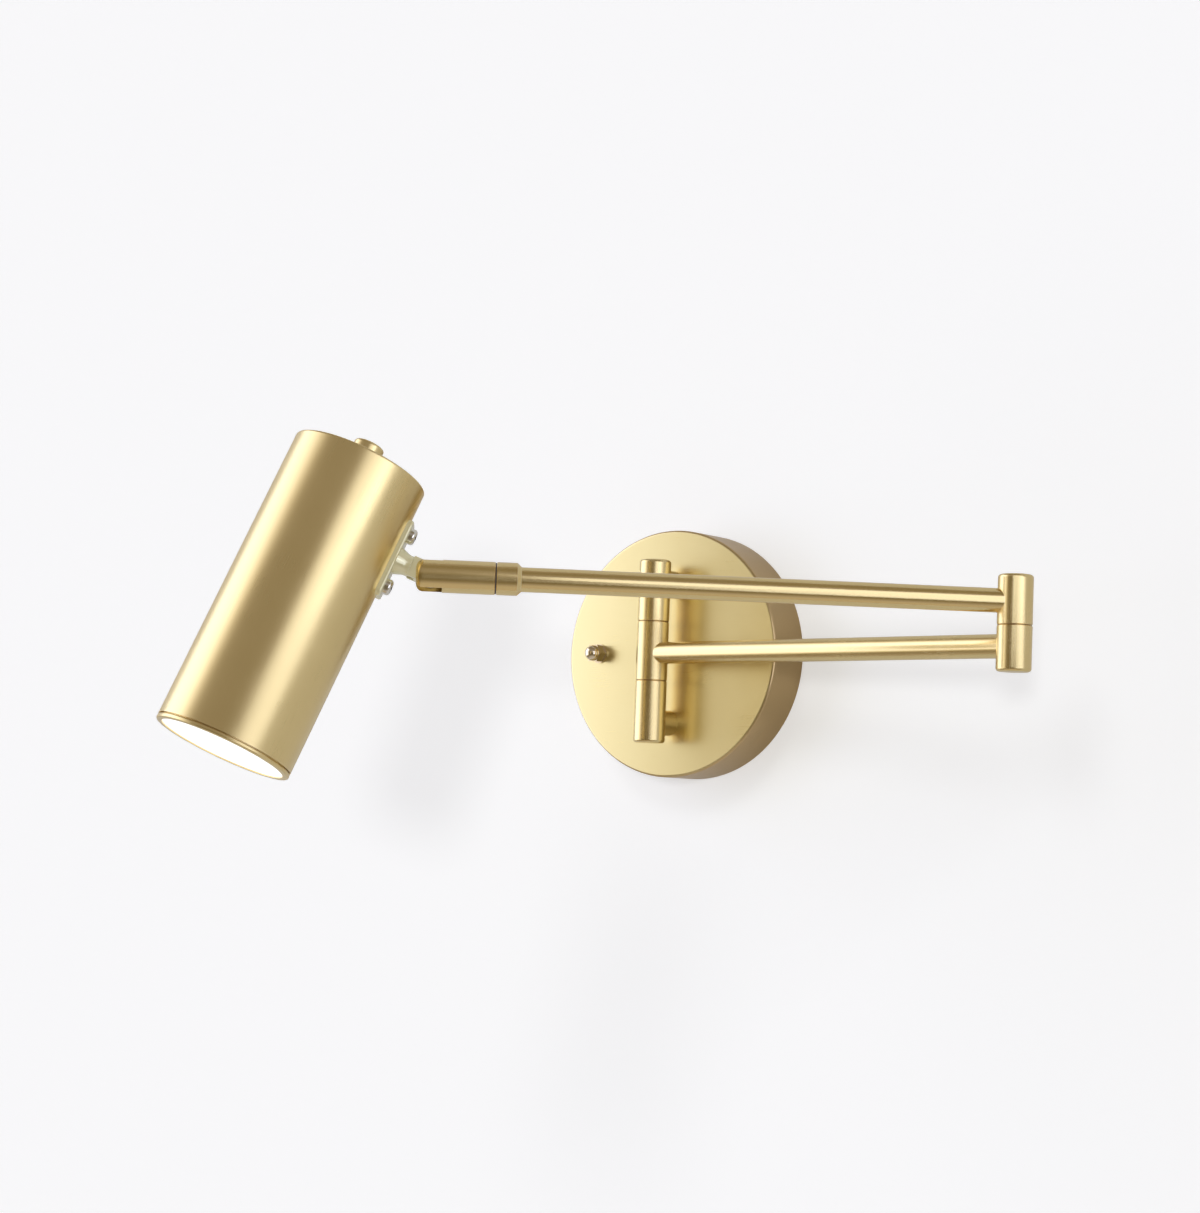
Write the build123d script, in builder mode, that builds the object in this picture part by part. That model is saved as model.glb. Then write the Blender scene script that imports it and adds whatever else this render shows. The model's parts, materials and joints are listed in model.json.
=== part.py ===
from build123d import *
from math import sqrt
import os

os.makedirs("parts", exist_ok=True)

# Rest pose, in degrees
lower_arm_angle = 9.0
fold_angle = 132.6
barrel_roll = 9.7
head_tilt = 22.0

# Fits and gaps
running_clearance = 0.05
thread_clearance = 0.05
hole_clearance = 0.1
end_gap = 0.5

# Wall canopy
canopy_radius = 60.0
canopy_depth = 25.0
canopy_wall = 1.2
canopy_face = 1.5
canopy_edge_round = 1.2

# Mounting strap
strap_length = 104.0
strap_width = 20.0
strap_thickness = 2.0
strap_corner = 4.0
cable_hole_radius = 5.5
wall_screw_spacing = 54.0
wall_screw_slot = 12.0
wall_screw_width = 5.0
ground_screw_reach = 13.5
ground_screw_radius = 2.0
ground_head_radius = 3.6
ground_head_height = 2.2

# Canopy studs and cap nuts
stud_spacing = 84.0
stud_radius = 2.5
stud_back_recess = 0.3
lock_nut_flats = 8.0
lock_nut_height = 4.0
cap_washer_radius = 4.7
cap_washer_thickness = 0.8
cap_nut_flats = 8.0
cap_nut_hex_height = 5.0
cap_nut_dome_radius = 3.85
cap_nut_dome_round = 3.73
cap_nut_thread_depth = 5.6

# Column posts
post_spacing = 67.8
post_radius = 6.1
post_tail_radius = 4.0
post_tail_length = 10.0
post_bore_radius = 2.6
post_spigot_depth = 4.4
backing_width = 16.0
backing_length = 88.0
backing_thickness = 2.0
post_washer_radius = 7.0
post_washer_thickness = 1.0
post_nut_flats = 13.0
post_nut_height = 5.0

# Column and its hub
column_offset = 40.2
column_radius = 7.6
column_length = 88.0
column_end_round = 1.5
hub_height = 28.0
washer_thickness = 0.35
washer_recess = 0.35
seam_chamfer = 0.25
axle_radius = 4.5
axle_bore_radius = 2.8
axle_length = 56.0
axle_seat_gap = 0.5
column_bore_radius = 2.7
axle_window_start = 40.0
axle_window_sweep = -162.0
window_height = 5.0

# Arms
arm_radius = 5.25
arm_wall = 1.0
arm_bore_radius = 2.6
spigot_length = 12.0
lower_arm_length = 212.5
lower_arm_level = -1.0

# Elbow
elbow_radius = 7.6
elbow_end_round = 1.5
lower_knuckle_below = 11.1
lower_knuckle_above = 8.6
upper_knuckle_below = 10.1
upper_knuckle_above = 11.4
pin_floor = 3.0
pin_shoulder_height = 6.0
pin_thread_radius = 4.0
spring_washer_thickness = 0.6
spring_washer_radius = 5.3
elbow_nut_flats = 9.4
elbow_nut_height = 2.2
elbow_cap_radius = 5.5
elbow_cap_thickness = 1.5
elbow_window_start = 38.0
elbow_window_sweep = -221.0

# Barrel swivel
pivot_reach = 248.5
collar_length = 10.5
collar_chamfer = 1.8
collar_end_wall = 3.6
barrel_gap = 0.6
barrel_radius = 7.0
barrel_behind_pivot = 27.2
barrel_past_pivot = 6.2
barrel_end_round = 3.0
slot_behind_pivot = 5.0
slot_width = 7.2
stem_radius = 3.0
stem_bore_radius = 2.0
stem_flange_radius = 4.0
stem_flange_thickness = 2.5
stem_depth = 11.0
swivel_washer_thickness = 0.5
swivel_washer_radius = 4.1

# Tilt hinge
tilt_screw_radius = 2.0
tilt_head_radius = 3.4
tilt_head_height = 1.7
tilt_head_recess = 2.1
tilt_socket_flats = 2.5
tilt_socket_depth = 1.2
tilt_screw_end = 1.5
tilt_washer_thickness = 0.45
tilt_washer_radius = 4.4
tongue_radius = 4.5

# Head bracket
bracket_standoff = 15.4
bracket_plate_thickness = 2.0
bracket_plate_length = 35.5
bracket_plate_width = 11.0
bracket_plate_corner = 2.5
bracket_plate_edge_round = 0.8
bracket_flare_radius = 6.0
bracket_flare_height = 4.2
bracket_neck_start = 9.2
bracket_neck_radius = 4.5
bracket_neck_round = 6.0
bracket_channel_radius = 1.7
bracket_channel_floor = 5.9
bracket_screw_spacing = 24.0
bracket_screw_radius = 1.9
bracket_screw_head_radius = 3.5
bracket_screw_head_height = 2.8
bracket_screw_head_round = 1.3
bracket_screw_past = 1.3
recess_width = 0.9
recess_length = 4.2
recess_depth = 1.3
inner_plate_thickness = 2.5
inner_plate_width = 12.0
inner_plate_length = 33.0

# Head shell
head_radius = 30.0
head_above_foot = 32.2
head_below_foot = 102.9
head_wall = 1.2
head_top_thickness = 1.5
head_top_round = 1.0
lead_hole_radius = 2.6

# Rotary switch
switch_body_radius = 8.0
switch_body_height = 13.0
switch_bush_radius = 4.0
switch_bush_height = 3.0
shaft_radius = 3.0
shaft_inside = 9.0
dress_nut_radius = 7.2
dress_nut_height = 1.0
knob_radius = 6.7
knob_lift = 1.3
knob_height = 8.2
knob_edge_round = 1.2
knob_recess_radius = 4.6
knob_top_thickness = 1.6

# Light engine
sink_drop = 57.0
sink_base_thickness = 5.0
sink_fin_height = 26.0
sink_core_radius = 8.0
sink_fin_reach = 27.0
sink_fin_thickness = 1.2
sink_fin_count = 20
lead_offset = 20.0
board_radius = 17.0
board_thickness = 1.6
board_screw_spacing = 26.0
board_screw_radius = 1.45
board_screw_head_radius = 2.6
board_screw_head_height = 1.5
board_screw_depth = 4.0
emitter_radius = 6.5
emitter_thickness = 0.9
reflector_throat_radius = 7.2
reflector_mouth_radius = 25.2
reflector_wall = 0.8
reflector_rim_height = 1.0

# Bezel and diffuser
bezel_bead_height = 1.9
bezel_bead_round = 0.7
bezel_groove = 0.35
bezel_lip = 2.6
bezel_sleeve_height = 6.4
bezel_sleeve_wall = 2.5
diffuser_thickness = 1.6
diffuser_recess = 0.5

# Driver and wiring
driver_width = 22.0
driver_length = 48.0
driver_height = 14.5
driver_edge_round = 2.0
driver_reach = 25.0
terminal_width = 14.0
terminal_length = 24.0
terminal_height = 12.0
terminal_reach = 21.0
terminal_count = 3
terminal_pitch = 7.4
terminal_screw_radius = 1.6
terminal_screw_height = 2.4
terminal_recess = 0.6
wire_radius = 1.5
wire_bend = 2.5
wire_drop = 6.0
wire_run_distance = 12.0


def place(frame, x=0.0, y=0.0, z=0.0):
    """Plane at a point of a frame, facing along the frame's z axis."""
    origin = frame.from_local_coords(Vector(x, y, z))
    return Plane(origin=origin, x_dir=frame.x_dir, z_dir=frame.z_dir)


def place_down(frame, x=0.0, y=0.0, z=0.0):
    """Plane at a point of a frame, facing against the frame's z axis."""
    origin = frame.from_local_coords(Vector(x, y, z))
    return Plane(origin=origin, x_dir=frame.x_dir, z_dir=-frame.z_dir)


def face_x(frame, x=0.0, y=0.0, z=0.0):
    """Plane at a point of a frame, facing along the frame's x axis; its own x axis is the frame's y."""
    origin = frame.from_local_coords(Vector(x, y, z))
    return Plane(origin=origin, x_dir=frame.y_dir, z_dir=frame.x_dir)


def face_y(frame, x=0.0, y=0.0, z=0.0):
    """Plane at a point of a frame, facing along the frame's y axis; its own x axis is the frame's z."""
    origin = frame.from_local_coords(Vector(x, y, z))
    return Plane(origin=origin, x_dir=frame.z_dir, z_dir=frame.y_dir)


def turn(frame, x=0.0, y=0.0, z=0.0):
    """Frame turned about its own axes, by angles in degrees."""
    return Plane(frame.location * Rotation(x, y, z))


# Frames of the rest pose: z up or along the head, x along the arm, the barrel or the bracket's neck
wall_frame = Plane.XZ
column_frame = Plane(origin=(0, -column_offset, 0))
lower_frame = turn(place(column_frame, z=lower_arm_level), z=-lower_arm_angle)
elbow_frame = place(lower_frame, x=lower_arm_length)
knuckle_step = lower_knuckle_above + washer_thickness + running_clearance + upper_knuckle_below
upper_frame = turn(place(elbow_frame, z=knuckle_step), z=-fold_angle)
barrel_frame = turn(place(upper_frame, x=pivot_reach), x=barrel_roll)
head_frame = turn(barrel_frame, y=-head_tilt)
head_reach = bracket_standoff + bracket_plate_thickness + head_radius
shade_frame = place(head_frame, x=head_reach)


def rod(plane, radius, length, mode=Mode.ADD):
    """Round bar, or with a subtracting mode a round hole, along a plane's normal."""
    with BuildSketch(plane) as outline:
        Circle(radius)
    extrude(outline.sketch, amount=length, mode=mode)


def ring(plane, outer, inner, length):
    """Washer or tube along a plane's normal."""
    with BuildSketch(plane) as outline:
        Circle(outer)
        Circle(inner, mode=Mode.SUBTRACT)
    extrude(outline.sketch, amount=length)


def nut(plane, flats, inner, height):
    """Hexagon nut along a plane's normal."""
    with BuildSketch(plane) as outline:
        RegularPolygon(radius=flats / 2, side_count=6, major_radius=False)
        Circle(inner, mode=Mode.SUBTRACT)
    extrude(outline.sketch, amount=height)


def turned(plane, profile, rounds=(), mode=Mode.ADD):
    """Turned solid about a plane's normal; profile is radius and height, rounds is corner and radius."""
    section = Plane(origin=plane.origin, x_dir=plane.x_dir, z_dir=-plane.y_dir)
    with BuildSketch(section) as outline:
        with BuildLine():
            Polyline(*profile, close=True)
        make_face()
        for corner, radius in rounds:
            fillet(outline.vertices().sort_by_distance(corner)[0], radius)
    revolve(outline.sketch, axis=Axis(plane.origin, plane.z_dir), mode=mode)


def side_window(plane, reach, height, start, sweep_angle):
    """Slot through one side of a hollow pin, from one angle round to another."""
    with BuildSketch(plane) as outline:
        with BuildLine():
            rim = CenterArc((0, 0), reach, start, sweep_angle)
            Line((0, 0), rim @ 0)
            Line(rim @ 1, (0, 0))
        make_face()
    extrude(outline.sketch, amount=height / 2, both=True, mode=Mode.SUBTRACT)


def wire(points, radius, bend):
    """Round wire swept along straight runs joined by bends."""
    with BuildPart() as lead:
        with BuildLine() as route:
            if len(points) > 2:
                FilletPolyline(*points, radius=bend)
            else:
                Line(*points)
        with BuildSketch(Plane(origin=route.line @ 0, z_dir=route.line % 0)):
            Circle(radius)
        sweep(path=route.wire())
    return lead.part


def save(part, name):
    """Name a sub-part and write its file."""
    part.label = name
    export_step(part, f"parts/{name}.step")


# ---- Wall base ----

stud_reach = stud_spacing / 2
post_level = post_spacing / 2
canopy_inside = canopy_depth - canopy_face


def make_mounting_strap():
    with BuildPart() as strap:
        with BuildSketch(wall_frame):
            RectangleRounded(strap_length, strap_width, strap_corner)
            Circle(cable_hole_radius, mode=Mode.SUBTRACT)
            with GridLocations(stud_spacing, 0, 2, 1):
                Circle(stud_radius + thread_clearance, mode=Mode.SUBTRACT)
            with GridLocations(wall_screw_spacing, 0, 2, 1):
                SlotOverall(wall_screw_slot, wall_screw_width, mode=Mode.SUBTRACT)
            with Locations((-ground_screw_reach, 0)):
                Circle(ground_screw_radius + thread_clearance, mode=Mode.SUBTRACT)
        extrude(amount=strap_thickness)
    return strap.part


def make_ground_screw():
    with BuildPart() as screw:
        seat = place(wall_frame, x=-ground_screw_reach, z=strap_thickness)
        tip = place(wall_frame, x=-ground_screw_reach, z=stud_back_recess)
        rod(seat, ground_head_radius, ground_head_height)
        rod(tip, ground_screw_radius, strap_thickness)
        with BuildSketch(place(seat, z=ground_head_height)):
            Rectangle(recess_length, recess_width)
            Rectangle(recess_width, recess_length)
        extrude(amount=-recess_depth, mode=Mode.SUBTRACT)
    return screw.part


cap_nut_start = canopy_depth + cap_washer_thickness
stud_end = cap_nut_start + cap_nut_thread_depth - end_gap


def make_canopy_studs():
    with BuildPart() as studs:
        for side in (-stud_reach, stud_reach):
            rod(place(wall_frame, x=side, z=stud_back_recess), stud_radius, stud_end - stud_back_recess)
    return studs.part


def make_stud_lock_nuts():
    with BuildPart() as nuts:
        for side in (-stud_reach, stud_reach):
            seat = place(wall_frame, x=side, z=strap_thickness)
            nut(seat, lock_nut_flats, stud_radius + thread_clearance, lock_nut_height)
    return nuts.part


def make_wall_canopy():
    with BuildPart() as canopy:
        turned(
            wall_frame,
            [
                (0, canopy_depth),
                (canopy_radius, canopy_depth),
                (canopy_radius, 0),
                (canopy_radius - canopy_wall, 0),
                (canopy_radius - canopy_wall, canopy_inside),
                (0, canopy_inside),
            ],
            rounds=[((canopy_radius, canopy_depth), canopy_edge_round)],
        )
        for side in (-stud_reach, stud_reach):
            hole = place(wall_frame, x=side, z=canopy_inside)
            rod(hole, stud_radius + hole_clearance, canopy_face, Mode.SUBTRACT)
        for level in (-post_level, post_level):
            hole = place(wall_frame, y=level, z=canopy_inside)
            rod(hole, post_tail_radius + hole_clearance, canopy_face, Mode.SUBTRACT)
    return canopy.part


def make_cap_nut_washers():
    with BuildPart() as washers:
        for side in (-stud_reach, stud_reach):
            seat = place(wall_frame, x=side, z=canopy_depth)
            ring(seat, cap_washer_radius, stud_radius + hole_clearance, cap_washer_thickness)
    return washers.part


def make_canopy_cap_nuts():
    with BuildPart() as nuts:
        for side in (-stud_reach, stud_reach):
            seat = place(wall_frame, x=side, z=cap_nut_start)
            dome = place(wall_frame, x=side, z=cap_nut_start + cap_nut_hex_height)
            with BuildSketch(seat) as hexagon:
                RegularPolygon(radius=cap_nut_flats / 2, side_count=6, major_radius=False)
            extrude(hexagon.sketch, amount=cap_nut_hex_height)
            turned(
                dome,
                [
                    (0, 0),
                    (cap_nut_dome_radius, 0),
                    (cap_nut_dome_radius, cap_nut_dome_radius),
                    (0, cap_nut_dome_radius),
                ],
                rounds=[((cap_nut_dome_radius, cap_nut_dome_radius), cap_nut_dome_round)],
            )
            rod(seat, stud_radius + thread_clearance, cap_nut_thread_depth, Mode.SUBTRACT)
    return nuts.part


backing_start = canopy_inside - backing_thickness
post_washer_start = backing_start - post_washer_thickness
post_nut_start = post_washer_start - post_nut_height


def make_post_backing_plate():
    with BuildPart() as plate:
        with BuildSketch(place(wall_frame, z=backing_start)):
            RectangleRounded(backing_width, backing_length, strap_corner)
            with GridLocations(0, post_spacing, 1, 2):
                Circle(post_tail_radius + hole_clearance, mode=Mode.SUBTRACT)
        extrude(amount=backing_thickness)
    return plate.part


def make_post_lock_washers():
    with BuildPart() as washers:
        for level in (-post_level, post_level):
            seat = place(wall_frame, y=level, z=post_washer_start)
            ring(seat, post_washer_radius, post_tail_radius + hole_clearance, post_washer_thickness)
    return washers.part


def make_post_nuts():
    with BuildPart() as nuts:
        for level in (-post_level, post_level):
            seat = place(wall_frame, y=level, z=post_nut_start)
            nut(seat, post_nut_flats, post_tail_radius + thread_clearance, post_nut_height)
    return nuts.part


post_tail_start = canopy_depth - post_tail_length
post_spigot_end = column_offset - column_radius + post_spigot_depth


def make_post(level):
    with BuildPart() as post:
        rod(place(wall_frame, y=level, z=canopy_depth), post_radius, column_offset - canopy_depth)
        rod(place(column_frame, z=level - column_radius), column_radius, 2 * column_radius, Mode.SUBTRACT)
        tail = place(wall_frame, y=level, z=post_tail_start)
        rod(tail, post_tail_radius, post_spigot_end - post_tail_start)
        rod(tail, post_bore_radius, post_spigot_end - post_tail_start, Mode.SUBTRACT)
    return post.part


column_start = hub_height / 2 + running_clearance + washer_thickness
column_half = column_length / 2
axle_half = axle_length / 2


def make_column_piece(side):
    seam = Plane(origin=(0, -column_offset, side * column_start), x_dir=(1, 0, 0), z_dir=(0, 0, side))
    length = column_half - column_start
    level = post_level - column_start
    with BuildPart() as piece:
        turned(
            seam,
            [
                (0, 0),
                (column_radius - seam_chamfer, 0),
                (column_radius, seam_chamfer),
                (column_radius, length),
                (0, length),
            ],
            rounds=[((column_radius, length), column_end_round)],
        )
        rod(seam, axle_radius + running_clearance, axle_half + axle_seat_gap - column_start, Mode.SUBTRACT)
        rod(seam, column_bore_radius, level, Mode.SUBTRACT)
        socket = place_down(wall_frame, y=side * post_level, z=post_spigot_end + hole_clearance)
        rod(socket, post_tail_radius + thread_clearance, column_radius, Mode.SUBTRACT)
        bend = place_down(wall_frame, y=side * post_level, z=column_offset + column_bore_radius)
        rod(bend, column_bore_radius, column_radius, Mode.SUBTRACT)
    return piece.part


def make_column_axle():
    with BuildPart() as axle:
        ring(place(column_frame, z=-axle_half), axle_radius, axle_bore_radius, axle_length)
        level = place(column_frame, z=lower_arm_level)
        side_window(level, 2 * axle_radius, window_height, axle_window_start, axle_window_sweep)
    return axle.part


def make_column_washers():
    washer_outer = column_radius - washer_recess
    with BuildPart() as washers:
        ring(
            place_down(column_frame, z=column_start),
            washer_outer,
            axle_radius + running_clearance,
            washer_thickness,
        )
        ring(
            place(column_frame, z=-column_start),
            washer_outer,
            axle_radius + running_clearance,
            washer_thickness,
        )
    return washers.part


def make_led_driver():
    with BuildPart() as driver:
        with BuildSketch(place(wall_frame, x=-driver_reach, z=canopy_inside - driver_height)):
            RectangleRounded(driver_width, driver_length, driver_edge_round)
        extrude(amount=driver_height)
    return driver.part


def make_terminal_block():
    with BuildPart() as block:
        base = place(wall_frame, x=terminal_reach, z=canopy_inside - terminal_height)
        with BuildSketch(base):
            Rectangle(terminal_width, terminal_length)
        extrude(amount=terminal_height)
        with BuildSketch(base):
            with GridLocations(0, terminal_pitch, 1, terminal_count):
                Circle(terminal_screw_radius + thread_clearance)
        extrude(amount=terminal_screw_height + terminal_recess, mode=Mode.SUBTRACT)
    return block.part


def make_terminal_screws():
    start = canopy_inside - terminal_height + terminal_recess
    with BuildPart() as screws:
        with BuildSketch(place(wall_frame, x=terminal_reach, z=start)):
            with GridLocations(0, terminal_pitch, 1, terminal_count):
                Circle(terminal_screw_radius)
        extrude(amount=terminal_screw_height)
    return screws.part


driver_end = driver_length / 2
terminal_end = terminal_length / 2
input_level = terminal_end + wire_drop


def make_driver_input_lead():
    depth = -wire_run_distance - wire_radius
    return wire(
        [
            (terminal_reach, depth, -terminal_end),
            (terminal_reach, depth, -input_level),
            (driver_width / 2 - driver_reach, depth, -input_level),
        ],
        wire_radius,
        wire_bend,
    )


wire_stop = wire_radius + end_gap


def make_base_wire():
    return wire(
        [
            (-driver_reach, -wire_run_distance, -driver_end),
            (-driver_reach, -wire_run_distance, -post_level),
            (0, -wire_run_distance, -post_level),
            (0, -column_offset, -post_level),
            (0, -column_offset, lower_arm_level - wire_stop),
        ],
        wire_radius,
        wire_bend,
    )


# ---- Lower arm ----

spigot_radius = arm_radius - arm_wall - running_clearance


def make_lower_arm_hub():
    base = place(lower_frame, z=-lower_arm_level - hub_height / 2)
    with BuildPart() as hub:
        turned(
            base,
            [
                (0, 0),
                (column_radius - seam_chamfer, 0),
                (column_radius, seam_chamfer),
                (column_radius, hub_height - seam_chamfer),
                (column_radius - seam_chamfer, hub_height),
                (0, hub_height),
            ],
        )
        rod(face_x(lower_frame), spigot_radius, column_radius + spigot_length)
        rod(face_x(lower_frame), arm_bore_radius, column_radius + spigot_length, Mode.SUBTRACT)
        rod(base, axle_radius + running_clearance, hub_height, Mode.SUBTRACT)
    return hub.part


def make_lower_arm_tube():
    with BuildPart() as tube:
        ring(face_x(lower_frame), arm_radius, arm_radius - arm_wall, lower_arm_length)
        rod(place(lower_frame, z=-column_radius), column_radius, 2 * column_radius, Mode.SUBTRACT)
        rod(place(elbow_frame, z=-elbow_radius), elbow_radius, 2 * elbow_radius, Mode.SUBTRACT)
    return tube.part


pin_bottom = pin_floor - lower_knuckle_below
ledge_level = knuckle_step + pin_shoulder_height
pin_thread_top = ledge_level + running_clearance + spring_washer_thickness + elbow_nut_height


def make_elbow_lower_knuckle():
    base = place(elbow_frame, z=-lower_knuckle_below)
    height = lower_knuckle_below + lower_knuckle_above
    with BuildPart() as knuckle:
        turned(
            base,
            [
                (0, 0),
                (elbow_radius, 0),
                (elbow_radius, height - seam_chamfer),
                (elbow_radius - seam_chamfer, height),
                (0, height),
            ],
            rounds=[((elbow_radius, 0), elbow_end_round)],
        )
        arm_side = face_x(elbow_frame, x=-elbow_radius - spigot_length)
        rod(arm_side, spigot_radius, elbow_radius + spigot_length)
        rod(arm_side, arm_bore_radius, elbow_radius + spigot_length, Mode.SUBTRACT)
        rod(place(elbow_frame, z=pin_bottom), axle_radius + running_clearance, height, Mode.SUBTRACT)
    return knuckle.part


def make_elbow_pin():
    foot = place(elbow_frame, z=pin_bottom + running_clearance)
    with BuildPart() as pin:
        rod(foot, axle_radius, ledge_level - pin_bottom - running_clearance)
        rod(foot, pin_thread_radius, pin_thread_top - pin_bottom - running_clearance)
        rod(foot, axle_bore_radius, pin_thread_top - pin_bottom - running_clearance, Mode.SUBTRACT)
        side = face_x(elbow_frame, x=-elbow_radius)
        rod(side, arm_bore_radius, elbow_radius, Mode.SUBTRACT)
        level = place(elbow_frame, z=knuckle_step)
        side_window(level, 2 * axle_radius, window_height, elbow_window_start, elbow_window_sweep)
    return pin.part


def make_elbow_washer():
    with BuildPart() as washer:
        ring(
            place(elbow_frame, z=lower_knuckle_above),
            elbow_radius - washer_recess,
            axle_radius + running_clearance,
            washer_thickness,
        )
    return washer.part


def make_elbow_spring_washer():
    with BuildPart() as washer:
        ring(
            place(elbow_frame, z=ledge_level + running_clearance),
            spring_washer_radius,
            pin_thread_radius + running_clearance,
            spring_washer_thickness,
        )
    return washer.part


def make_elbow_nut():
    with BuildPart() as elbow_nut:
        nut(
            place(elbow_frame, z=ledge_level + running_clearance + spring_washer_thickness),
            elbow_nut_flats,
            pin_thread_radius + thread_clearance,
            elbow_nut_height,
        )
    return elbow_nut.part


def make_lower_arm_wire():
    start = lower_frame.from_local_coords(Vector(0, 0, 0))
    corner = elbow_frame.from_local_coords(Vector(0, 0, 0))
    end = elbow_frame.from_local_coords(Vector(0, 0, knuckle_step - wire_stop))
    return wire([start, corner, end], wire_radius, wire_bend)


# ---- Upper arm ----


def make_elbow_upper_knuckle():
    base = place(upper_frame, z=-upper_knuckle_below)
    height = upper_knuckle_below + upper_knuckle_above
    with BuildPart() as knuckle:
        turned(
            base,
            [
                (0, 0),
                (elbow_radius - seam_chamfer, 0),
                (elbow_radius, seam_chamfer),
                (elbow_radius, height),
                (0, height),
            ],
            rounds=[((elbow_radius, height), elbow_end_round)],
        )
        rod(face_x(upper_frame), spigot_radius, elbow_radius + spigot_length)
        rod(face_x(upper_frame), arm_bore_radius, elbow_radius + spigot_length, Mode.SUBTRACT)
        rod(base, axle_radius + running_clearance, height, Mode.SUBTRACT)
        ledge = place(upper_frame, z=pin_shoulder_height)
        rod(ledge, elbow_cap_radius + running_clearance, height, Mode.SUBTRACT)
    return knuckle.part


def make_elbow_cap():
    with BuildPart() as cap:
        rod(
            place(upper_frame, z=upper_knuckle_above - elbow_cap_thickness),
            elbow_cap_radius,
            elbow_cap_thickness,
        )
    return cap.part


collar_end = pivot_reach - barrel_behind_pivot - barrel_gap
collar_start = collar_end - collar_length
collar_floor = collar_end - collar_end_wall


def make_upper_arm_tube():
    with BuildPart() as tube:
        ring(face_x(upper_frame), arm_radius, arm_radius - arm_wall, collar_floor)
        rod(place(upper_frame, z=-elbow_radius), elbow_radius, 2 * elbow_radius, Mode.SUBTRACT)
    return tube.part


def make_swivel_collar():
    seat_radius = arm_radius + running_clearance
    start = face_x(upper_frame, x=collar_start)
    with BuildPart() as collar:
        turned(
            start,
            [
                (0, 0),
                (seat_radius, 0),
                (barrel_radius, collar_chamfer),
                (barrel_radius, collar_length - seam_chamfer),
                (barrel_radius - seam_chamfer, collar_length),
                (0, collar_length),
            ],
        )
        rod(start, seat_radius, collar_floor - collar_start, Mode.SUBTRACT)
        rod(start, stem_radius + running_clearance, collar_length, Mode.SUBTRACT)
    return collar.part


slot_floor_reach = pivot_reach - slot_behind_pivot
upper_wire_end = slot_floor_reach - end_gap


def make_upper_arm_wire():
    return wire(
        [
            upper_frame.from_local_coords(Vector(0, 0, 0)),
            upper_frame.from_local_coords(Vector(upper_wire_end, 0, 0)),
        ],
        wire_radius,
        wire_bend,
    )


# ---- Swivel barrel ----

barrel_length = barrel_behind_pivot + barrel_past_pivot
cheek_inner = slot_width / 2
tilt_head_seat = tilt_head_recess - barrel_radius
tilt_screw_tip = barrel_radius - tilt_screw_end
stem_flange_start = collar_floor - swivel_washer_thickness - stem_flange_thickness - 2 * running_clearance


def make_swivel_barrel():
    start = face_x(barrel_frame, x=-barrel_behind_pivot)
    with BuildPart() as barrel:
        turned(
            start,
            [
                (0, 0),
                (barrel_radius - seam_chamfer, 0),
                (barrel_radius, seam_chamfer),
                (barrel_radius, barrel_length),
                (0, barrel_length),
            ],
            rounds=[((barrel_radius, barrel_length), barrel_end_round)],
        )
        slot_length = slot_behind_pivot + barrel_past_pivot
        with BuildSketch(place(barrel_frame, x=barrel_past_pivot - slot_length / 2)):
            Rectangle(slot_length, slot_width)
        extrude(amount=barrel_radius, both=True, mode=Mode.SUBTRACT)
        rod(start, stem_radius + thread_clearance, stem_depth + end_gap, Mode.SUBTRACT)
        rod(start, stem_bore_radius, barrel_length, Mode.SUBTRACT)
        far_side = face_y(barrel_frame, y=-barrel_radius)
        rod(far_side, tilt_head_radius + hole_clearance, tilt_head_recess, Mode.SUBTRACT)
        screw_hole = barrel_radius + tilt_screw_tip + end_gap
        rod(far_side, tilt_screw_radius + thread_clearance, screw_hole, Mode.SUBTRACT)
    return barrel.part


def make_swivel_stem():
    flange = face_x(upper_frame, x=stem_flange_start)
    length = pivot_reach - barrel_behind_pivot + stem_depth - stem_flange_start
    with BuildPart() as stem:
        rod(flange, stem_flange_radius, stem_flange_thickness)
        rod(flange, stem_radius, length)
        rod(flange, stem_bore_radius, length, Mode.SUBTRACT)
    return stem.part


def make_swivel_washer():
    with BuildPart() as washer:
        ring(
            face_x(upper_frame, x=stem_flange_start + stem_flange_thickness),
            swivel_washer_radius,
            stem_radius + running_clearance,
            swivel_washer_thickness,
        )
    return washer.part


def make_seam_washer():
    with BuildPart() as washer:
        ring(
            face_x(upper_frame, x=collar_end + running_clearance),
            barrel_radius - washer_recess,
            stem_radius + running_clearance,
            barrel_gap - running_clearance,
        )
    return washer.part


def make_tilt_screw():
    seat = face_y(barrel_frame, y=tilt_head_seat)
    with BuildPart() as screw:
        rod(face_y(barrel_frame, y=tilt_head_seat - tilt_head_height), tilt_head_radius, tilt_head_height)
        rod(seat, tilt_screw_radius, tilt_screw_tip - tilt_head_seat)
        with BuildSketch(face_y(barrel_frame, y=tilt_head_seat - tilt_head_height)):
            RegularPolygon(radius=tilt_socket_flats / 2, side_count=6, major_radius=False)
        extrude(amount=tilt_socket_depth, mode=Mode.SUBTRACT)
    return screw.part


def make_tilt_washers():
    inner = tilt_screw_radius + running_clearance
    near = cheek_inner - tilt_washer_thickness
    with BuildPart() as washers:
        for start in (-cheek_inner, near):
            ring(face_y(barrel_frame, y=start), tilt_washer_radius, inner, tilt_washer_thickness)
    return washers.part


# ---- Head ----

tongue_half = cheek_inner - tilt_washer_thickness - running_clearance
shell_inner = head_radius - head_wall
shell_sag = head_radius - sqrt(head_radius**2 - (bracket_plate_width / 2) ** 2)
bracket_screw_reach = bracket_screw_spacing / 2
inner_plate_end = bracket_standoff + bracket_plate_thickness + head_wall + inner_plate_thickness


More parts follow.
